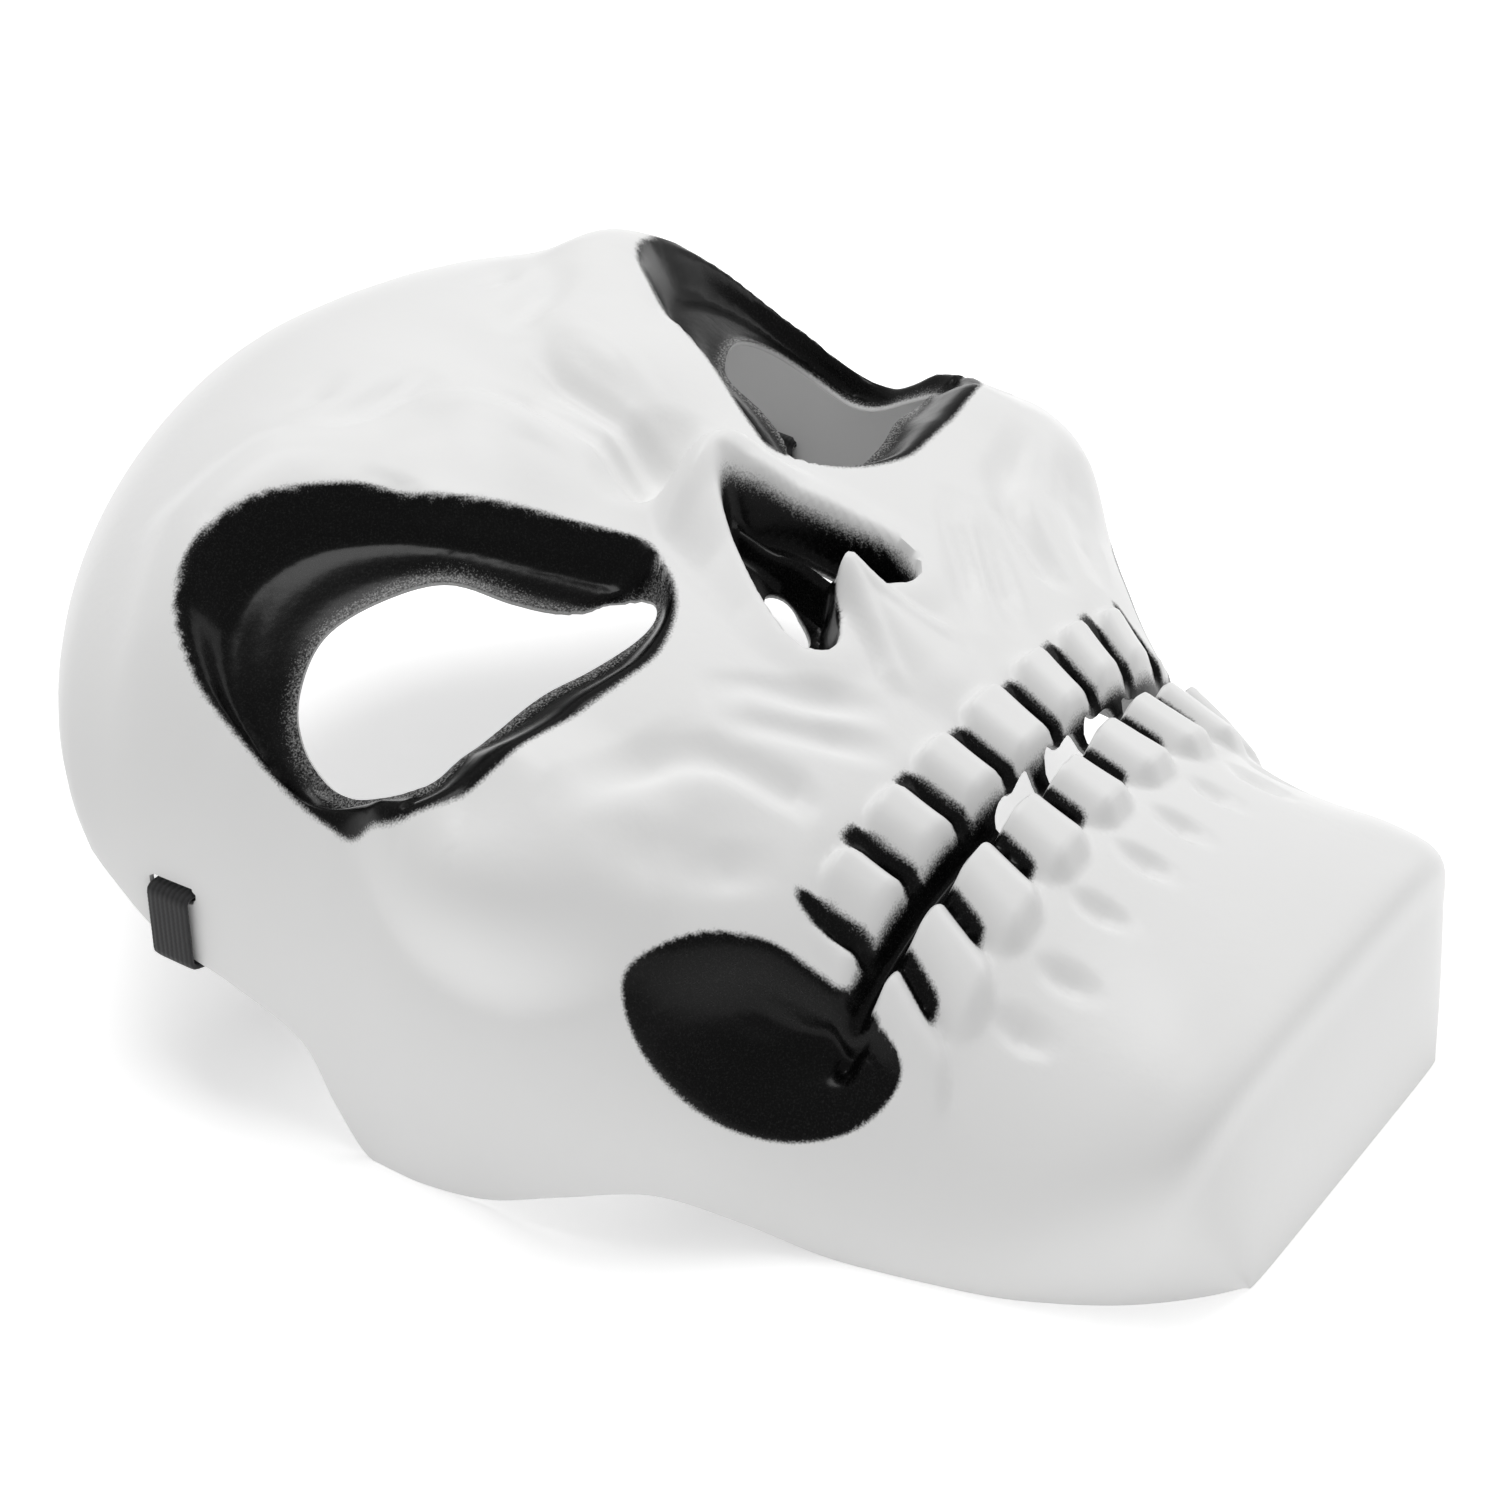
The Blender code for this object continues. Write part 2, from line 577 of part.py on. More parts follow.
half = rounded(half_route, 7)
route = np.vstack([half, half[-2::-1] * (-1, 1)])
ribbon = [
    (x, slot_y + across * STRAP_WIDTH / 2, z) for x, z in route for across in (-1, 1)
]
strap = mesh_object("head_strap", ribbon, grid_faces(len(route), 2), mask)
strap.data.materials.append(material("black_elastic", (0.012, 0.012, 0.013), 0.85))
weave = strap.modifiers.new("elastic", "SOLIDIFY")
weave.thickness = STRAP_THICKNESS
weave.offset = 0
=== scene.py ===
"""Skull mask of white vacuum-formed PVC with a black elastic strap, lying on a pale table."""

import bpy
import numpy as np
from mathutils import Matrix, Vector


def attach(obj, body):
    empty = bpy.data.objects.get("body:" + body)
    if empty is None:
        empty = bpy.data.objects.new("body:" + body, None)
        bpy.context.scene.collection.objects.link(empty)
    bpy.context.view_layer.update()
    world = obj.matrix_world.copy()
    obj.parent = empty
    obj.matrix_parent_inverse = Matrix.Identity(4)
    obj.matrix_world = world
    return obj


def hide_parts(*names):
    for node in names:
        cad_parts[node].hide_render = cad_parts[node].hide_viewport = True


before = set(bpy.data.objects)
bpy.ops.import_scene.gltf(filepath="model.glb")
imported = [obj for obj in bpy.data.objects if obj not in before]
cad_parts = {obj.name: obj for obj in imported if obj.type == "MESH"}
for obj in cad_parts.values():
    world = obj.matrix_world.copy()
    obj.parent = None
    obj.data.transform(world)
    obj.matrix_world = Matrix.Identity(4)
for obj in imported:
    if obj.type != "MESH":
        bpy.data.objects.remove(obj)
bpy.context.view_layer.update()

# The face: one sheet of white PVC, about a millimetre thick, drawn over a mould and trimmed.
# The chin's edge is at y = 0, the forehead is at +y and the face looks up. Lengths are millimetres.
HALF_WIDTH = 84.0
SHEET = 1.0

SECTIONS = (
    # mid_y, mid_z, rim_x, rim_y, rim_z, square: arches from rim to rim, chin to forehead
    (-0.9, 0.0, 32.0, 0.0, 0.0, 6.0),
    (0.9, 15.0, 37.0, 4.0, 0.0, 5.5),
    (3.1, 29.0, 42.0, 9.0, 0.0, 5.2),
    (4.9, 38.0, 46.5, 14.6, 0.0, 4.6),
    (13.0, 42.0, 51.0, 22.0, 0.0, 3.4),
    (23.1, 45.0, 55.0, 30.5, 0.0, 2.5),
    (34.9, 48.0, 58.5, 42.1, 0.0, 2.15),
    (47.9, 51.5, 62.0, 55.1, 0.5, 2.2),
    (60.9, 56.5, 67.0, 67.0, 5.0, 2.3),
    (73.9, 63.0, 73.5, 78.4, 9.5, 2.8),
    (88.0, 70.0, 79.0, 90.9, 7.0, 3.5),
    (101.9, 76.0, 81.0, 103.9, 1.5, 4.1),
    (114.9, 80.5, 82.5, 116.0, 0.0, 4.1),
    (127.0, 84.0, 82.5, 125.4, 0.0, 3.7),
    (138.0, 87.5, 82.5, 131.9, 8.0, 3.3),
    (149.0, 90.0, 82.5, 138.0, 18.0, 3.1),
    (159.9, 92.0, 83.5, 150.1, 24.0, 3.0),
    (172.9, 93.0, 84.0, 163.1, 28.0, 2.9),
    (186.6, 91.5, 84.0, 172.5, 35.0, 2.3),
    (198.9, 88.0, 83.0, 179.0, 41.0, 2.0),
    (210.6, 81.0, 76.0, 185.5, 45.5, 1.8),
    (218.0, 71.5, 65.0, 191.1, 48.0, 1.8),
    (222.4, 60.0, 54.0, 197.1, 49.0, 2.1),
    (224.0, 49.0, 44.5, 202.9, 49.0, 2.6),
)

EYE_MIDDLE = (46.0, 131.0)
EYE_EDGE = (
    (17.2, 118.6), (20.0, 124.5), (26.0, 134.8), (32.0, 145.5), (38.5, 156.5), (48.0, 166.3),
    (59.5, 170.8), (68.5, 168.5), (73.8, 161.3), (75.8, 153.5), (77.2, 143.5), (78.1, 134.0),
    (78.5, 126.2), (78.8, 119.2), (74.8, 113.4), (69.5, 109.8), (64.5, 107.5), (57.0, 106.2),
    (49.5, 105.0), (43.0, 104.0), (35.0, 103.5), (27.0, 106.0), (21.3, 110.0), (18.6, 114.2),
)
EYE_OPENING = (
    (20.3, 115.2), (23.0, 118.8), (30.0, 123.5), (34.5, 131.0), (38.0, 140.5), (46.0, 146.3),
    (56.0, 150.2), (64.5, 148.8), (69.0, 145.0), (71.0, 139.0), (71.4, 131.0), (71.8, 123.5),
    (69.0, 118.4), (60.0, 117.0), (49.0, 114.6), (41.0, 111.9), (31.0, 110.5), (24.0, 111.6),
)
NOSE_MIDDLE = (0.0, 99.0)
NOSE_EDGE = (
    (0.0, 116.5), (5.0, 113.5), (9.5, 107.5), (13.5, 100.5), (16.3, 93.0), (15.0, 88.0),
    (11.0, 86.8), (7.0, 88.6), (3.5, 91.5), (0.0, 92.5), (-3.5, 91.5), (-7.0, 88.6),
    (-11.0, 86.8), (-15.0, 88.0), (-16.3, 93.0), (-13.5, 100.5), (-9.5, 107.5), (-5.0, 113.5),
)
NOSTRIL_MIDDLE = (6.0, 99.0)
NOSTRIL_EDGE = (
    (3.4, 103.5), (6.0, 103.8), (8.6, 100.5), (9.6, 96.8), (8.4, 94.6), (5.6, 95.4),
    (3.3, 98.6), (2.6, 101.5),
)
CHEEK_MIDDLE = (66.0, 36.0)
CHEEK_EDGE = (
    # y, z, seen from the side
    (84.0, 44.0), (83.5, 49.5), (78.0, 51.5), (71.0, 49.0), (64.0, 43.5), (57.0, 38.5),
    (50.0, 34.0), (49.5, 28.0), (54.0, 22.5), (62.0, 20.5), (70.0, 23.5), (79.0, 33.5),
)
UPPER_GROOVES = (7.0, 19.6, 32.0, 43.5)
LOWER_GROOVES = (6.0, 18.4, 30.5, 41.0, 49.5)
MOUTH_GAPS = (
    # x, half length, half height
    (-7.6, 5.8, 1.9),
    (7.0, 5.8, 2.0),
    (20.0, 5.6, 1.7),
    (31.5, 3.6, 1.4),
)
SLOT_MIDDLE = (160.5, 38.3)
SLOT_HALF = (4.5, 1.5)

FOLDS = (
    # x, y, height, half width along each fold: hills are positive, creases negative
    ((30, 158, 1.0, 10), (42, 171, 3.0, 11), (56, 176, 3.5, 12), (70, 170, 2.5, 11), (78, 152, 1.0, 8)),
    (
        (75, 154, 0, 8), (79, 142, 3.0, 8), (79.5, 132, 5.5, 8), (79, 124, 4.5, 8),
        (79, 118, 0, 9), (74, 110, -4.0, 11), (74, 100, -2.5, 11), (73, 90, 0, 10),
    ),
    ((0, 132, -1.0, 8), (0, 150, -1.8, 9), (0, 172, -0.8, 10), (0, 186, 0, 11)),
    ((4, 124, -1.2, 3.5), (3, 138, -1.6, 3.5), (4, 150, -1.4, 3.5), (8, 160, 0, 4)),
    ((9, 134, 0, 4), (12, 144, 1.4, 5), (14, 154, 1.2, 6), (18, 162, 0, 5)),
    ((8, 164, 0, 5), (16, 166, -1.8, 4.5), (24, 168, -1.8, 5), (33, 170, 0, 5)),
    ((16, 178, 0, 4), (24, 177, -1.3, 4), (33, 181, 0, 4)),
    ((37, 158, 0, 3), (35, 151, -1.2, 3), (33.5, 144, 0, 3)),
    ((40, 92, 0, 4), (50, 94, -1.9, 4.5), (62, 97, -0.8, 4.5), (70, 99, 0, 5)),
    ((37, 73, 0, 4), (37, 78, -2.2, 4.5), (42, 88, -2.2, 4.5), (50, 94, 0, 4.5)),
    ((40, 80, 0, 5), (48, 86, 1.3, 5), (58, 91, 0.9, 5), (68, 95, 0, 5)),
    ((13, 76, 0, 3.5), (20, 83, -1.9, 3.8), (29, 91, -1.6, 3.8), (36, 96, 0, 4)),
    ((19, 71, 0, 3.5), (25, 79, -2.2, 3.8), (32, 87, -1.4, 3.8), (38, 92, 0, 4)),
    ((24, 84, 0, 4), (30, 90, 1.2, 4), (36, 93, 0, 4)),
    ((46, 73, 0, 3.5), (53, 79, -1.8, 3.8), (60, 85, 0, 4)),
    ((54, 82, 0, 4), (62, 87, -1.5, 4.5), (70, 91, 0, 5)),
    ((0, 92, 6.0, 5), (0, 87, 4.5, 6.5), (0, 76, 2.0, 10)),
    ((1, 91, 0.8, 2.6), (4, 85, 1.5, 2.6), (7.5, 79, 1.2, 2.8), (9, 76, 0, 3)),
)


def ease(t):
    """3 t^2 - 2 t^3: a smooth step from 0 to 1."""
    t = np.clip(t, 0, 1)
    return t * t * (3 - 2 * t)


def risen(value, start, width):
    """0 up to start and 1 from start + width on, with a smooth step between."""
    return ease((value - start) / width)


def faded(value, start, width):
    """1 up to start and 0 from start + width on, with a smooth step between."""
    return 1 - risen(value, start, width)


def between(pair, share):
    """From the pair's first value at share 0 to its second at share 1."""
    return pair[0] + (pair[1] - pair[0]) * share


def bell(t):
    """(1 - t^2)^2: a round bump that ends at t = 1."""
    return np.clip(1 - t * t, 0, None) ** 2


def spline(before, start, end, after, f):
    """Catmull-Rom: the cubic from start to end whose slopes are half of end - before and after - start."""
    first = f * (end - before)
    second = f**2 * (2 * before - 5 * start + 4 * end - after)
    third = f**3 * (3 * (start - end) + after - before)
    return start + 0.5 * (first + second + third)


def closed_curve(corners, steps):
    """Smooth closed curve: a spline through the corners, steps points to each side."""
    corners = np.asarray(corners, float)
    f = np.linspace(0, 1, steps, endpoint=False)[None, :, None]
    four = [np.roll(corners, shift, axis=0)[:, None, :] for shift in (1, 0, -1, -2)]
    return spline(*four, f).reshape(-1, 2)


def outline_share(a, b, corners, middle):
    """Distance from the middle over the outline's own distance in that direction, and that distance."""
    curve = closed_curve(corners, 12) - middle
    angle = np.arctan2(curve[:, 1], curve[:, 0])
    order = np.argsort(angle)
    angle = angle[order]
    angle = np.concatenate([angle - 2 * np.pi, angle, angle + 2 * np.pi])
    reach = np.tile(np.hypot(curve[:, 0], curve[:, 1])[order], 3)
    own = np.interp(np.arctan2(b - middle[1], a - middle[0]), angle, reach)
    return np.hypot(a - middle[0], b - middle[1]) / own, own


def beyond(a, b, corners, middle):
    """(share - 1) times the outline's own distance: millimetres outside the outline, negative inside."""
    share, own = outline_share(a, b, corners, middle)
    return (share - 1) * own


def from_line(x, y, points):
    """Distance to a chain of points, and the points' further values at its nearest place."""
    points = np.asarray(points, float)
    nearest = np.full(np.shape(x), np.inf)
    values = np.zeros(np.shape(x) + (points.shape[1] - 2,))
    for start, end in zip(points[:-1], points[1:]):
        way = end - start
        t = ((x - start[0]) * way[0] + (y - start[1]) * way[1]) / (way[:2] @ way[:2])
        t = np.clip(t, 0, 1)
        distance = np.hypot(x - start[0] - t * way[0], y - start[1] - t * way[1])
        closer = distance < nearest
        nearest = np.where(closer, distance, nearest)
        values = np.where(closer[..., None], start[2:] + t[..., None] * way[2:], values)
    return nearest, values


def fold(x, y, points):
    """height * bell(distance / half width), both blended along the fold's own points."""
    distance, values = from_line(x, y, points)
    return values[..., 0] * bell(distance / values[..., 1])


MOUTH_Y = 55.3
MOUTH_RISE = 0.06
GROOVE_FAN = 0.008


def mouth_line(x):
    """y of the line between the teeth: it rises a little from the middle to the corners."""
    return MOUTH_Y + MOUTH_RISE * x


def groove_distance(x, y, grooves):
    """Distance across to the nearest groove between teeth; the grooves fan out from the mouth line."""
    fan = 1 + GROOVE_FAN * np.abs(y - mouth_line(x))
    return np.min([np.abs(x - at * fan) for at in grooves], axis=0)


BROW_MIDDLE = (17, 147)
BROW_REACH = (15, 20)
BROW_HEIGHT = 3.0
BRIDGE_Y = 128.5
BRIDGE_REACH = (15, 9.5)
BRIDGE_DEPTH = 6.5

# A socket's pairs hold the value in its lower part and the one under the brow. The brow's part
# starts at a y that rises across the face and steps up at the temple.
BROW_PART_Y = 106
BROW_PART_SLOPE = 0.1
BROW_PART_STEP = 14
TEMPLE_STEP = (60, 16)
BROW_PART_FADE = 14
SOCKET_DEPTH = (5.5, 9.0)
SOCKET_WALL_REACH = (0.9, 0.4)
SOCKET_WALL_SHARE = 0.78
LEDGE_AT = 0.56
LEDGE_REACH = 0.3
LEDGE_SHARE = 0.09

NOSE_RIM_HEIGHT = (
    # y, height
    (86, 1.5), (90, 1.3), (93, 1.4), (100, 1.8), (108, 3.5), (114, 7.5), (117, 11.0),
)
NOSE_RIM_REACH = (
    # y, reach
    (86, 6.0), (100, 7.0), (117, 11.0),
)
NOSE_WALL = 3.2
NOSTRILS_Y = 108
NOSTRILS_FADE = 10
NOSE_FLOOR = (-6.0, -8.0)
SEPTUM_HEIGHT = (3.0, 7.5)
SEPTUM_REACH = 2.6

TEETH = (
    # side of the mouth line, grooves, half tooth, start from the line, root's y, end's x, height, sink
    (1, UPPER_GROOVES, 5.2, 0.8, 67.0, 50, 5.6, 2.0),
    (-1, LOWER_GROOVES, 5.0, 1.0, 44.0, 54, 4.9, 1.1),
)
TOOTH_EDGE = 2.6
ROOT_ARC = 2.8
TEETH_FADE = 4
MOUTH_DEPTH = 4.5
MOUTH_REACH = 3.2
MOUTH_END = 56
MOUTH_FADE = 5
ROOT_PITS = ((5.6, 35), (18, 35.5), (30, 34), (39, 36))
PIT_REACH = (3.2, 6.5)
PIT_DEPTH = 2.0


def relief(x, y):
    """Sum of all that stands up from the front or sinks into it: brow, sockets, nose, teeth, folds."""
    x = np.abs(x)
    brow = bell(np.hypot((x - BROW_MIDDLE[0]) / BROW_REACH[0], (y - BROW_MIDDLE[1]) / BROW_REACH[1]))
    bridge = bell(np.hypot(x / BRIDGE_REACH[0], (y - BRIDGE_Y) / BRIDGE_REACH[1]))
    height = BROW_HEIGHT * brow - BRIDGE_DEPTH * bridge
    folds = np.zeros_like(x)
    for points in FOLDS:
        folds = folds + fold(x, y, points)

    # Sockets: about three quarters of the depth falls in a steep wall and the rest towards the
    # opening. Under the brow a low ledge stands out from the slope.
    past_edge = beyond(x, y, EYE_EDGE, EYE_MIDDLE)
    past_opening = beyond(x, y, EYE_OPENING, EYE_MIDDLE)
    inward = -past_edge / np.maximum(past_opening - past_edge, 1e-6)
    inward = np.where(past_opening < 0, 1, inward)
    brow_part = BROW_PART_Y + BROW_PART_SLOPE * x + BROW_PART_STEP * risen(x, *TEMPLE_STEP)
    upper = risen(y, brow_part, BROW_PART_FADE)
    fall = SOCKET_WALL_SHARE * ease(inward / between(SOCKET_WALL_REACH, upper))
    fall = fall + (1 - SOCKET_WALL_SHARE) * ease(inward)
    fall = fall - LEDGE_SHARE * upper * bell((inward - LEDGE_AT) / LEDGE_REACH)
    height = height - np.where(past_edge < 0, between(SOCKET_DEPTH, upper) * fall, 0)

    # Nose: the rim rises to a tip, and inside it the floor lies sunk with a low wall in the middle.
    curve = closed_curve(NOSE_EDGE, 6)
    away, _ = from_line(x, y, np.vstack([curve, curve[:1]]))
    within = beyond(x, y, NOSE_EDGE, NOSE_MIDDLE) < 0
    crest = np.interp(y, *np.transpose(NOSE_RIM_HEIGHT))
    reach = np.interp(y, *np.transpose(NOSE_RIM_REACH))
    rim = crest * np.where(within, 1, bell(np.minimum(away / reach, 1)))
    sunk = np.where(within, ease(away / NOSE_WALL), 0)
    low = ease((NOSTRILS_Y - y) / NOSTRILS_FADE)
    floor = between(NOSE_FLOOR, low) + between(SEPTUM_HEIGHT, low) * bell(x / SEPTUM_REACH)
    height = height + (rim + folds) * (1 - sunk) + floor * sunk

    # Teeth: rounded blocks with grooves between them on both sides of the mouth line, which lies
    # sunk, and pits in the gum below the lower roots.
    up = y - mouth_line(x)
    for side, grooves, half, start, root, end, high, sink in TEETH:
        crown = np.sin(np.pi / 2 * np.clip(groove_distance(x, y, grooves) / half, 0, 1))
        row = risen(side * up, start, TOOTH_EDGE) * ease((side * (root - y) + ROOT_ARC * crown) / ROOT_ARC)
        height = height + row * ease((end - x) / TEETH_FADE) * (high * crown - sink)
    height = height - MOUTH_DEPTH * bell(up / MOUTH_REACH) * ease((MOUTH_END - x) / MOUTH_FADE)
    for pit_x, pit_y in ROOT_PITS:
        height = height - PIT_DEPTH * bell(np.hypot((x - pit_x) / PIT_REACH[0], (y - pit_y) / PIT_REACH[1]))
    return height


def square_to(points):
    """Unit vectors square to a grid of points: the cross product of its two directions."""
    square = np.cross(np.gradient(points, axis=1), np.gradient(points, axis=0))
    return square / np.maximum(np.linalg.norm(square, axis=-1, keepdims=True), 1e-9)


def arches(u, v):
    """x = rim x S, (y, z) = rim + (middle - rim) C, where S^n + C^n = 1 and n is the section's square."""
    table = np.array(SECTIONS)
    last = len(table) - 1
    at = np.clip(v, 0, 1) * last
    row = np.minimum(at.astype(int), last - 1)
    rows = np.vstack([2 * table[0] - table[1], table, 2 * table[-1] - table[-2]])
    found = spline(rows[row], rows[row + 1], rows[row + 2], rows[row + 3], (at - row)[..., None])
    mid_y, mid_z, rim_x, rim_y, rim_z, square = np.moveaxis(found, -1, 0)
    s = np.sin(np.abs(u) * np.pi / 2)
    c = np.cos(u * np.pi / 2)
    size = (s**square + c**square) ** (1 / square)
    x = np.sign(u) * rim_x * s / size
    y = rim_y + (mid_y - rim_y) * c / size
    z = np.maximum(rim_z + (mid_z - rim_z) * c / size, 0)
    return np.stack([x, y, z], axis=-1)


# A START pair says where a form begins and over how many millimetres it comes up to its full
# height. Below LEVEL_EDGE the sheet's thickness turns level.
CHEEKBONE_MIDDLE = (73, 104, 62)
CHEEKBONE_REACH = (26, 30, 24)
CHEEKBONE_HEIGHT = 8.5
CHEEK_DEPTH = 6.0
CHEEK_SLOPE = 0.85
CHEEK_START = (45, 6)
RELIEF_START = (20, 15)
LEVEL_EDGE = 3.7


def sheet_sides(u, v):
    """Outer side: arches + cheekbone and cheek hollow square to them + relief along z. Inner: SHEET in."""
    points = arches(u, v)
    square = square_to(points)
    x = np.abs(points[..., 0])
    y = points[..., 1]
    z = points[..., 2]
    away = (np.stack([x, y, z], axis=-1) - CHEEKBONE_MIDDLE) / CHEEKBONE_REACH
    bone = bell(np.linalg.norm(away, axis=-1))
    share, _ = outline_share(y, z, CHEEK_EDGE, CHEEK_MIDDLE)
    hollow = ease((1 - share) / CHEEK_SLOPE) * risen(x, *CHEEK_START)
    points = points + square * (CHEEKBONE_HEIGHT * bone - CHEEK_DEPTH * hollow)[..., None]
    front = risen(points[..., 2], *RELIEF_START)
    points[..., 2] += relief(points[..., 0], points[..., 1]) * front

    # The chin's two corners go inward as their neighbours do, and at the table all points go
    # inward level, so that both sides of the edge rest on it.
    inward = square + square_to(points)
    for side, beside in ((0, 1), (-1, -2)):
        inward[0, side] = inward[0, beside] + inward[1, side]
    inward[..., 2] *= ease(points[..., 2] / LEVEL_EDGE)
    inward = inward / np.linalg.norm(inward, axis=-1, keepdims=True)
    return points, points - SHEET * inward


FACE_FROM_Z = 40
TEMPLE_FROM_X = 75
FAR_FROM_ANY = 9


def kept_sheet(points):
    """Signed distance in millimetres to the nearest cut-out, positive on the sheet that is kept."""
    x, y, z = np.moveaxis(points, -1, 0)
    side = np.abs(x)
    kept = beyond(side, y, EYE_OPENING, EYE_MIDDLE)
    kept = np.minimum(kept, beyond(side, y, NOSTRIL_EDGE, NOSTRIL_MIDDLE))
    for at, long, high in MOUTH_GAPS:
        a = np.abs(x - at) / long
        b = np.abs(y - mouth_line(abs(at))) / high
        kept = np.minimum(kept, high * ((a**4 + b**4) ** 0.25 - 1))
    kept = np.where(z > FACE_FROM_Z, kept, FAR_FROM_ANY)
    a = np.abs(y - SLOT_MIDDLE[0]) - SLOT_HALF[0]
    b = np.abs(z - SLOT_MIDDLE[1]) - SLOT_HALF[1]
    slot = np.where(side > TEMPLE_FROM_X, np.maximum(a, b), FAR_FROM_ANY)
    return np.minimum(slot, kept)


def trimmed(faces, kept):
    """Cuts triangles along kept = 0: the faces left and, for each point, two old points and a share."""
    own = np.arange(len(kept))
    firsts, seconds, shares = [own], [own], [np.zeros(len(kept))]
    inside = kept[faces] > 0
    count = inside.sum(axis=1)
    pieces = [faces[count == 3]]
    total = len(kept)
    for wanted in (1, 2):
        some = faces[count == wanted]
        flags = inside[count == wanted]
        lone = np.argmax(flags if wanted == 1 else ~flags, axis=1)
        turn = (lone[:, None] + np.arange(3)) % 3
        tri = np.take_along_axis(some, turn, axis=1)
        new = []
        for other in (1, 2):
            low = np.minimum(tri[:, 0], tri[:, other])
            high = np.maximum(tri[:, 0], tri[:, other])
            firsts.append(low)
            seconds.append(high)
            shares.append(kept[low] / (kept[low] - kept[high]))
            new.append(total + np.arange(len(tri)))
            total += len(tri)
        if wanted == 1:
            pieces.append(np.column_stack([tri[:, 0], new[0], new[1]]))
        else:
            pieces.append(np.column_stack([new[0], tri[:, 1], tri[:, 2]]))
            pieces.append(np.column_stack([new[0], tri[:, 2], new[1]]))
    return np.vstack(pieces), np.concatenate(firsts), np.concatenate(seconds), np.concatenate(shares)


# The grid has more rows to a section at the teeth and the nose, and its columns crowd towards
# the middle. Each four-sided cell is split along its shorter diagonal, then the cut-outs are cut.
ROWS = (22, 16, 56, 68, 38, 15)
ROWS_END_AT_SECTION = (0, 3, 6.2, 9.2, 12.6, 17.6, 23)
COLUMNS = 221
CROWDING = 1.2
row_at = np.interp(np.linspace(0, 1, sum(ROWS)), np.cumsum((0, *ROWS)) / sum(ROWS), ROWS_END_AT_SECTION)
across_at = np.linspace(-1, 1, COLUMNS)
across_at = np.sign(across_at) * np.abs(across_at) ** CROWDING
u, v = np.meshgrid(across_at, row_at / (len(SECTIONS) - 1))
outer, inner = sheet_sides(u, v)
rows, columns = u.shape
first = (np.arange(rows - 1)[:, None] * columns + np.arange(columns - 1)).ravel()
quads = np.stack([first, first + 1, first + columns + 1, first + columns], axis=1)
corners = outer.reshape(-1, 3)[quads]
diagonals = np.linalg.norm(corners[:, :2] - corners[:, 2:], axis=-1)
second_is_shorter = (diagonals[:, 0] > diagonals[:, 1])[:, None]
faces = np.vstack(
    [
        np.where(second_is_shorter, quads[:, [1, 2, 3]], quads[:, [0, 1, 2]]),
        np.where(second_is_shorter, quads[:, [3, 0, 1]], quads[:, [0, 2, 3]]),
    ]
)
faces, first_end, second_end, share = trimmed(faces, kept_sheet(outer).ravel())

# Cut points that two triangles share become one, and points that no face uses go.
keys = np.column_stack([first_end, second_end])
keys[share == 0] = first_end[share == 0][:, None]
_, keep, same = np.unique(keys, axis=0, return_index=True, return_inverse=True)
faces = same.reshape(-1)[faces]
used = np.unique(faces)
number = np.zeros(len(keep), int)
number[used] = np.arange(len(used))
faces = number[faces]
keep = keep[used]


def between_ends(side):
    """Each trimmed point: first end + share * (second end - first end)."""
    side = side.reshape(-1, side.shape[-1])
    a, b, f = side[first_end[keep]], side[second_end[keep]], share[keep][:, None]
    return a + f * (b - a)


outer_points = between_ends(outer)
inner_points = between_ends(inner)
count = len(outer_points)

# An edge with a face on one side only gets a wall from the outer to the inner side.
edges = np.vstack([faces[:, [0, 1]], faces[:, [1, 2]], faces[:, [2, 0]]])
both = np.sort(edges, axis=1)
_, where, times = np.unique(both, axis=0, return_inverse=True, return_counts=True)
border = edges[times[where.reshape(-1)] == 1]
a, b = border[:, 0], border[:, 1]
walls = np.vstack([np.column_stack([b, a, a + count]), np.column_stack([b, a + count, b + count])])
shell_points = np.vstack([outer_points, inner_points])
shell_faces = np.vstack([faces, faces[:, ::-1] + count, walls])
MIDDLE_Y = (outer[..., 1].min() + outer[..., 1].max()) / 2


def placed(points):
    """Millimetres from the chin's edge as metres about the middle of the mask."""
    return (np.asarray(points) - (0, MIDDLE_Y, 0)) * 0.001


def mesh_piece(name, points, faces):
    """A mesh object at the origin, its place in its mesh."""
    mesh = bpy.data.meshes.new(name)
    mesh.from_pydata(points, [], faces)
    mesh.shade_smooth()
    made = bpy.data.objects.new(name, mesh)
    bpy.context.scene.collection.objects.link(made)
    return made


shell = mesh_piece("skull_shell", placed(shell_points), shell_faces)
shell.data.set_sharp_from_angle(angle=np.radians(55))


def on_sheet(field, points):
    """The field over its slope along the sheet, so that it counts millimetres on the sheet."""
    slope = 0
    for way in (0, 1):
        run = np.linalg.norm(np.gradient(points, axis=way), axis=-1)
        slope = slope + (np.gradient(field, axis=way) / np.maximum(run, 1e-3)) ** 2
    return field / np.sqrt(np.clip(slope, 0.01, 1))


# Millimetres: where the paint starts to thin, and over how far it fades.
EYE_FADE = (-1.2, 2.8)
NOSE_FADE = (-2.0, 1.8)
CHEEK_FADE = (-0.9, 1.8)
CHEEK_PAINT_START = (44, 4)
MOUTH_LINE_FADE = (1.2, 1.5)
MOUTH_CORNER_FADE = (56, 4)
GROOVE_LENGTH_FADE = 3.0
GROOVE_ROW_FADE = 2
FRONT_PAINT_START = (30, 8)
THIN_BAND = 5.0
THINNED_BY = 0.30
GROOVE_PAINT = (
    # side of the mouth line, grooves, half width, fade, length, end's x
    (1, UPPER_GROOVES, 1.0, 1.6, 11.0, 47),
    (-1, LOWER_GROOVES, 0.9, 1.5, 8.5, 52),
)


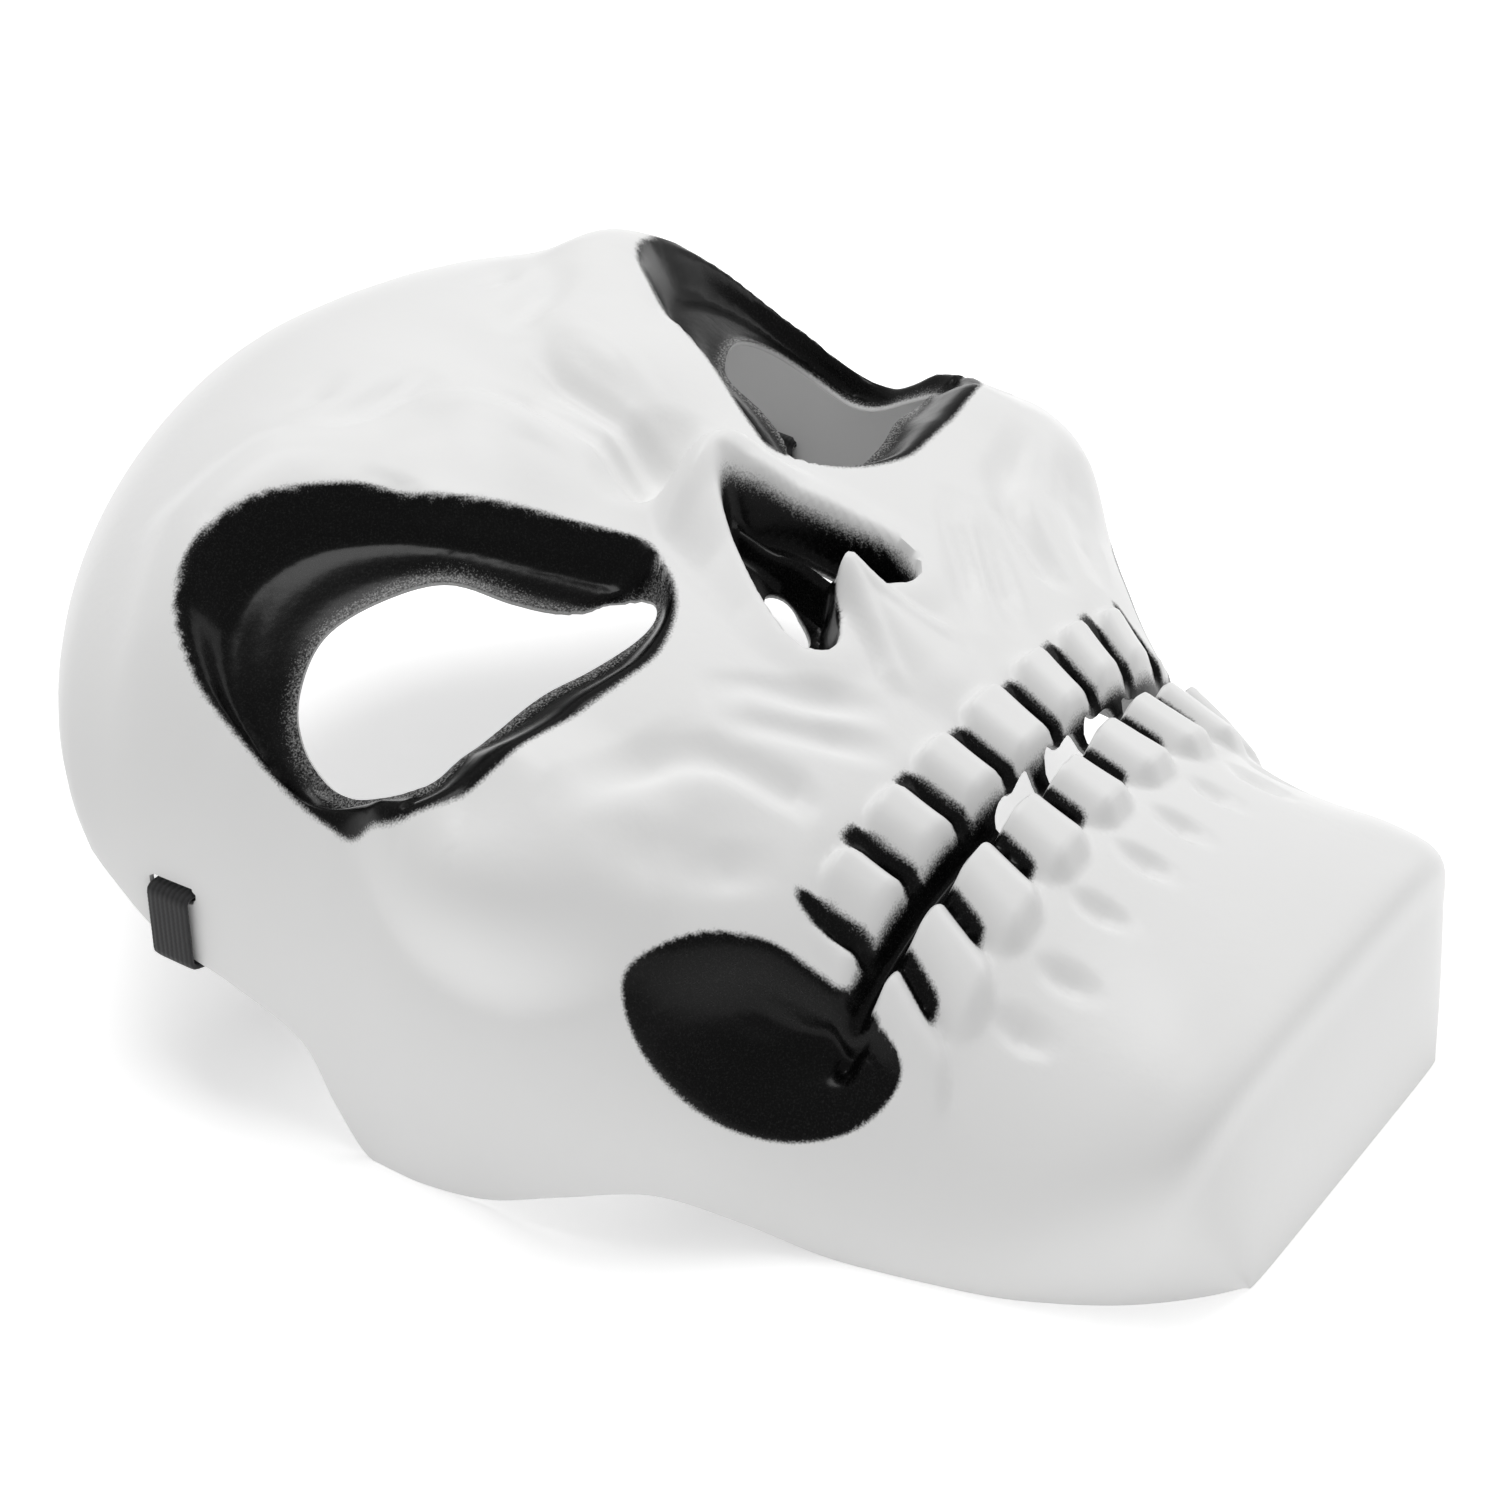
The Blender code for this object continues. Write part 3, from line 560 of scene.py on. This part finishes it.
def paint_on(points):
    """Airbrushed black, 0 to 1: full in sockets, nose, cheeks and grooves, and soft at their edges."""
    x, y, z = np.moveaxis(points, -1, 0)
    x = np.abs(x)
    past_edge = on_sheet(beyond(x, y, EYE_EDGE, EYE_MIDDLE), points)
    thin = ease((THIN_BAND - beyond(x, y, EYE_OPENING, EYE_MIDDLE)) / THIN_BAND)
    eye = faded(past_edge, *EYE_FADE) * (1 - THINNED_BY * thin)
    nose = faded(beyond(x, y, NOSE_EDGE, NOSE_MIDDLE), *NOSE_FADE)
    up = y - mouth_line(x)
    mouth = faded(np.abs(up), *MOUTH_LINE_FADE) * faded(x, *MOUTH_CORNER_FADE)
    painted = [eye, nose, mouth]
    for side, grooves, half, soft, length, end in GROOVE_PAINT:
        groove = faded(groove_distance(x, y, grooves), half, soft)
        groove = groove * risen(side * up, -1, 2) * faded(side * up, length, GROOVE_LENGTH_FADE)
        painted.append(groove * faded(x, end, GROOVE_ROW_FADE))
    painted = np.max(painted, axis=0) * risen(z, *FRONT_PAINT_START)
    cheek = faded(beyond(y, z, CHEEK_EDGE, CHEEK_MIDDLE), *CHEEK_FADE)
    return np.maximum(painted, cheek * risen(x, *CHEEK_PAINT_START))


paint = np.zeros(2 * count)
paint[:count] = between_ends(paint_on(outer)[..., None])[:, 0]
attribute = shell.data.attributes.new("paint", "FLOAT", "POINT")
attribute.data.foreach_set("value", paint.astype(np.float32))
# Points of the inner side, whose white the material darkens to grey as painted shade.
attribute = shell.data.attributes.new("shaded_inner_side", "FLOAT", "POINT")
attribute.data.foreach_set("value", np.repeat((0, 1), count).astype(np.float32))


def srgb(code):
    """sRGB hex code as linear colour."""
    c = np.array([int(code[i : i + 2], 16) for i in (0, 2, 4)]) / 255
    linear = np.where(c < 0.04045, c / 12.92, ((c + 0.055) / 1.055) ** 2.4)
    return (*linear, 1.0)


def add_node(tree, kind, settings=None, values=None, links=None):
    """Adds a node, sets its properties and socket values, and links sockets to its inputs."""
    node = tree.nodes.new(kind)
    for key, value in (settings or {}).items():
        setattr(node, key, value)
    for key, value in (values or {}).items():
        node.inputs[key].default_value = value
    for key, socket in (links or {}).items():
        tree.links.new(socket, node.inputs[key])
    return node


def new_material(name):
    """An empty Principled material: its tree, its shader and itself."""
    made = bpy.data.materials.new(name)
    made.use_nodes = True
    return made.node_tree, made.node_tree.nodes["Principled BSDF"], made


def cells(size):
    """Noise scale on coordinates in metres at which a cell is that many millimetres wide."""
    return 1000 / size


# Vacuum-formed white PVC, satin, with black acrylic airbrushed on: droplets scatter at the paint's
# edge, and the paint is glossier than the sheet where it lies thick. The white is a little cloudy,
# and the surface has a faint orange peel. Pattern sizes are millimetres.
DROPLET = 0.3125
CLOUD = 1000 / 28
ORANGE_PEEL = 1000 / 420
tree, shader, painted_pvc = new_material("airbrushed_white_pvc")
place = add_node(tree, "ShaderNodeTexCoord").outputs["Object"]
spray = add_node(tree, "ShaderNodeAttribute", {"attribute_name": "paint"}).outputs["Fac"]
droplets = add_node(
    tree,
    "ShaderNodeTexNoise",
    {},
    {"Scale": cells(DROPLET), "Detail": 2.0, "Roughness": 0.6},
    {"Vector": place},
).outputs["Fac"]
scatter = add_node(
    tree,
    "ShaderNodeMapRange",
    {},
    {"From Min": 0.3, "From Max": 0.7, "To Min": -0.13, "To Max": 0.13},
    {"Value": droplets},
).outputs["Result"]
sprayed = add_node(tree, "ShaderNodeMath", {"operation": "ADD"}, {}, {0: spray, 1: scatter}).outputs[0]
cover = add_node(
    tree,
    "ShaderNodeMapRange",
    {"interpolation_type": "SMOOTHSTEP"},
    {"From Min": 0.25, "From Max": 0.85},
    {"Value": sprayed},
).outputs["Result"]
cloud = add_node(
    tree, "ShaderNodeTexNoise", {}, {"Scale": cells(CLOUD), "Detail": 3.0}, {"Vector": place}
).outputs["Fac"]
white = add_node(
    tree,
    "ShaderNodeMix",
    {"data_type": "RGBA"},
    {6: srgb("E4E4E3"), 7: srgb("E8E8E8")},
    {0: cloud},
).outputs[2]
grains = add_node(
    tree, "ShaderNodeMapRange", {}, {"From Min": 0.5, "From Max": 0.75}, {"Value": droplets}
).outputs["Result"]
black = add_node(
    tree, "ShaderNodeMix", {"data_type": "RGBA"}, {6: srgb("050505"), 7: srgb("1E1E1E")}, {0: grains}
).outputs[2]
# Painted shade: the unpainted inner side is mixed to the darker grey AFAFAF, standing in for the shadow
# inside the shell.
shaded_inner_side = add_node(tree, "ShaderNodeAttribute", {"attribute_name": "shaded_inner_side"}).outputs["Fac"]
white = add_node(
    tree, "ShaderNodeMix", {"data_type": "RGBA"}, {7: srgb("AFAFAF")}, {0: shaded_inner_side, 6: white}
).outputs[2]
color = add_node(tree, "ShaderNodeMix", {"data_type": "RGBA"}, {}, {0: cover, 6: white, 7: black})
tree.links.new(color.outputs[2], shader.inputs["Base Color"])
gloss = add_node(
    tree, "ShaderNodeMapRange", {}, {"To Min": 0.34, "To Max": 0.26}, {"Value": cover}
).outputs["Result"]
tree.links.new(gloss, shader.inputs["Roughness"])
orange_peel = add_node(
    tree, "ShaderNodeTexNoise", {}, {"Scale": cells(ORANGE_PEEL), "Detail": 2.0}, {"Vector": place}
).outputs["Fac"]
bump = add_node(
    tree, "ShaderNodeBump", {}, {"Strength": 0.25, "Distance": 0.0002}, {"Height": orange_peel}
)
tree.links.new(bump.outputs["Normal"], shader.inputs["Normal"])
shader.inputs["IOR"].default_value = 1.53
shader.inputs["Specular IOR Level"].default_value = 0.13
shell.data.materials.append(painted_pvc)
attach(shell, "root")
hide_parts("mask_shell")

# The strap: black elastic, 8 mm wide, woven over rubber threads, folded round the edge at each
# slot and stitched back to itself. Between the two slots it lies on the table.
STRAP_WIDTH = 8.0
STRAP_THICK = 1.0
STRAP_GAP = 0.6
TAIL = 7.0
TAIL_GAP = 0.4
BEND = 1.2
KNEE_BEND = 6.0
TABLE_BEND = 10.0
slot_y, slot_z = SLOT_MIDDLE

# A close grid of the temple gives the wall at the slot and the rim below it.
side_u, side_v = np.meshgrid(np.linspace(0.7, 1, 200), np.linspace(0.55, 0.9, 400))
temple = sheet_sides(side_u, side_v)[0].reshape(-1, 3)
temple = temple[np.abs(temple[:, 1] - slot_y) < 2.0]
rim_z = temple[:, 2].min()
wall = temple[np.abs(temple[:, 2] - slot_z) < 0.5, 0].max()
rim_x = temple[temple[:, 2] < rim_z + 0.5, 0].max()

# Middle of the ribbon: inside and outside the wall, under the rim, and at the knee on its way down.
inside = wall - SHEET - STRAP_GAP - STRAP_THICK / 2
outside = rim_x + STRAP_GAP + STRAP_THICK / 2
turn = rim_z - STRAP_GAP - STRAP_THICK / 2
knee = np.array((0.83 * HALF_WIDTH, 0.8 * turn))
run = (knee - (outside, turn)) / np.hypot(*(knee - (outside, turn)))
above = (STRAP_THICK + TAIL_GAP) / -run[0]
overlap = np.array((inside, turn + (inside - outside) * run[1] / run[0] + above))
half_route = (
    # x, z, length of the rounding on each side of the corner
    (*(overlap + TAIL * run), 0),
    (*overlap, BEND),
    (inside, slot_z, BEND),
    (outside, slot_z, BEND),
    (outside, turn, BEND),
    (*knee, KNEE_BEND),
    (0.6 * HALF_WIDTH, STRAP_THICK / 2, TABLE_BEND),
    (0, STRAP_THICK / 2, 0),
)


def rounded(route, steps):
    """Straight runs joined by (1 - t)^2 start + 2 t (1 - t) corner + t^2 end at each corner."""
    corners = np.array(route, float)
    t = np.linspace(0, 1, steps)[:, None]
    points = [corners[:1, :2]]
    for before, corner, after in zip(corners[:-2], corners[1:-1], corners[2:]):
        back = before[:2] - corner[:2]
        ahead = after[:2] - corner[:2]
        start = corner[:2] + back / np.hypot(*back) * corner[2]
        end = corner[:2] + ahead / np.hypot(*ahead) * corner[2]
        points.append((1 - t) ** 2 * start + 2 * t * (1 - t) * corner[:2] + t**2 * end)
    points.append(corners[-1:, :2])
    return np.vstack(points)


RING_SPACING = 0.4
half = rounded(half_route, 14)
route = np.vstack([half, half[-2::-1] * (-1, 1)])
length = np.concatenate([[0], np.cumsum(np.hypot(*np.diff(route, axis=0).T))])
even = np.arange(0, length[-1], RING_SPACING)
route = np.column_stack([np.interp(even, length, route[:, 0]), np.interp(even, length, route[:, 1])])
along = np.gradient(route, axis=0)
along = along / np.hypot(along[:, 0], along[:, 1])[:, None]
out = np.column_stack([along[:, 1], -along[:, 0]])
RIB_SPACING = 0.8
RIB_DEPTH = 0.16
AROUND = 24


def ribbon(even, route, out):
    """Flat oval: width/2 |cos|^0.35 across, thickness/2 |sin|^0.5 out, pressed in between the ribs."""
    turn = np.linspace(0, 2 * np.pi, AROUND, endpoint=False)
    c = np.sign(np.cos(turn)) * np.abs(np.cos(turn)) ** 0.35
    s = np.sign(np.sin(turn)) * np.abs(np.sin(turn)) ** 0.5
    rib = 1 - RIB_DEPTH * (0.5 + 0.5 * np.cos(2 * np.pi * even / RIB_SPACING))[:, None]
    lift = s[None, :] * rib * STRAP_THICK / 2
    x = route[:, 0, None] + out[:, 0, None] * lift
    z = route[:, 1, None] + out[:, 1, None] * lift
    y = slot_y + np.broadcast_to(c[None, :] * STRAP_WIDTH / 2, x.shape)
    return np.stack([x, y, z], axis=-1)


grid = ribbon(even, route, out)
rings, around = grid.shape[:2]
first = np.arange(rings - 1)[:, None] * around
at = np.arange(around)
after = (at + 1) % around
strap_faces = np.stack([first + at, first + after, first + after + around, first + at + around], axis=-1)
ends = [list(range(around)), list(range((rings - 1) * around, rings * around))[::-1]]
strap = mesh_piece(
    "elastic_strap", placed(grid.reshape(-1, 3)), strap_faces.reshape(-1, 4).tolist() + ends
)
strap.data.set_sharp_from_angle(angle=np.radians(60))

# Woven black polyester over rubber: matt, with a faint sheen. The threads run along the strap, as
# many millimetres apart as THREAD_SPACING says, and at scale 1 a wave is 2 pi / 20 m long.
THREAD_SPACING = 0.952
tree, shader, elastic = new_material("woven_black_elastic")
place = add_node(tree, "ShaderNodeTexCoord").outputs["Object"]
threads = add_node(
    tree,
    "ShaderNodeTexWave",
    {"bands_direction": "Y"},
    {
        "Scale": 2 * np.pi / 20 * 1000 / THREAD_SPACING,
        "Distortion": 0.6,
        "Detail": 1.0,
        "Detail Scale": 2.0,
    },
    {"Vector": place},
).outputs["Fac"]
fibre = add_node(
    tree, "ShaderNodeMix", {"data_type": "RGBA"}, {6: srgb("111112"), 7: srgb("242426")}, {0: threads}
).outputs[2]
tree.links.new(fibre, shader.inputs["Base Color"])
bump = add_node(tree, "ShaderNodeBump", {}, {"Strength": 0.6, "Distance": 0.0001}, {"Height": threads})
tree.links.new(bump.outputs["Normal"], shader.inputs["Normal"])
shader.inputs["Roughness"].default_value = 0.8
shader.inputs["Sheen Weight"].default_value = 0.15
strap.data.materials.append(elastic)
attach(strap, "root")
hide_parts("head_strap")

# The table: a wide pale sheet that glows a little, as a lit photo table does, and is lit softly
# from above and from the right. It lies a hair's breadth under the mask. Lengths are metres.
TABLE_HALF = 4
TABLE_TOP = -0.0003
corners = [(x * TABLE_HALF, y * TABLE_HALF, TABLE_TOP) for x, y in ((-1, -1), (1, -1), (1, 1), (-1, 1))]
table = mesh_piece("table", corners, [(0, 1, 2, 3)])
tree, shader, paper = new_material("white_paper")
shader.inputs["Base Color"].default_value = srgb("F4F4F4")
shader.inputs["Roughness"].default_value = 0.9
shader.inputs["Emission Color"].default_value = srgb("FFFFFF")
shader.inputs["Emission Strength"].default_value = 0.45
table.data.materials.append(paper)


MASK_MIDDLE = (0, 0, 0.05)


def softbox(name, where, size, power):
    """A square area light at where, turned toward the middle of the mask."""
    light = bpy.data.lights.new(name, "AREA")
    light.size = size
    light.energy = power
    made = bpy.data.objects.new(name, light)
    made.location = where
    made.rotation_euler = (Vector(MASK_MIDDLE) - Vector(where)).to_track_quat("-Z", "Y").to_euler()
    bpy.context.scene.collection.objects.link(made)


softbox("overhead", where=(0.1, 0.25, 1.1), size=0.6, power=7.0)
softbox("right_fill", where=(0.9, -0.5, 0.6), size=0.8, power=3)
world = bpy.data.worlds.new("studio")
world.use_nodes = True
world.node_tree.nodes["Background"].inputs["Color"].default_value = (1, 1, 1, 1)
world.node_tree.nodes["Background"].inputs["Strength"].default_value = 0.42
bpy.context.scene.world = world
bpy.context.scene.view_settings.view_transform = "Standard"

# The camera stands to the lower left of the face and looks down at about 35 degrees. Its place is
# in millimetres from the chin's edge.
CAMERA_PLACE = (-397.90, -158.84, 370.70)
CAMERA_RIGHT = (0.5606, -0.8281, 0.0)
CAMERA_AHEAD = (0.6791, 0.4598, -0.5722)
camera = bpy.data.cameras.new("camera")
camera.sensor_width = 36
camera.lens = 86.4
camera_object = bpy.data.objects.new("camera", camera)
right = np.array(CAMERA_RIGHT) / np.linalg.norm(CAMERA_RIGHT)
ahead = np.array(CAMERA_AHEAD) / np.linalg.norm(CAMERA_AHEAD)
up = np.cross(right, ahead)
stand = placed(CAMERA_PLACE)
camera_object.matrix_world = Matrix(
    [(right[i], up[i], -ahead[i], stand[i]) for i in range(3)] + [(0, 0, 0, 1)]
)
bpy.context.scene.collection.objects.link(camera_object)
bpy.context.scene.camera = camera_object
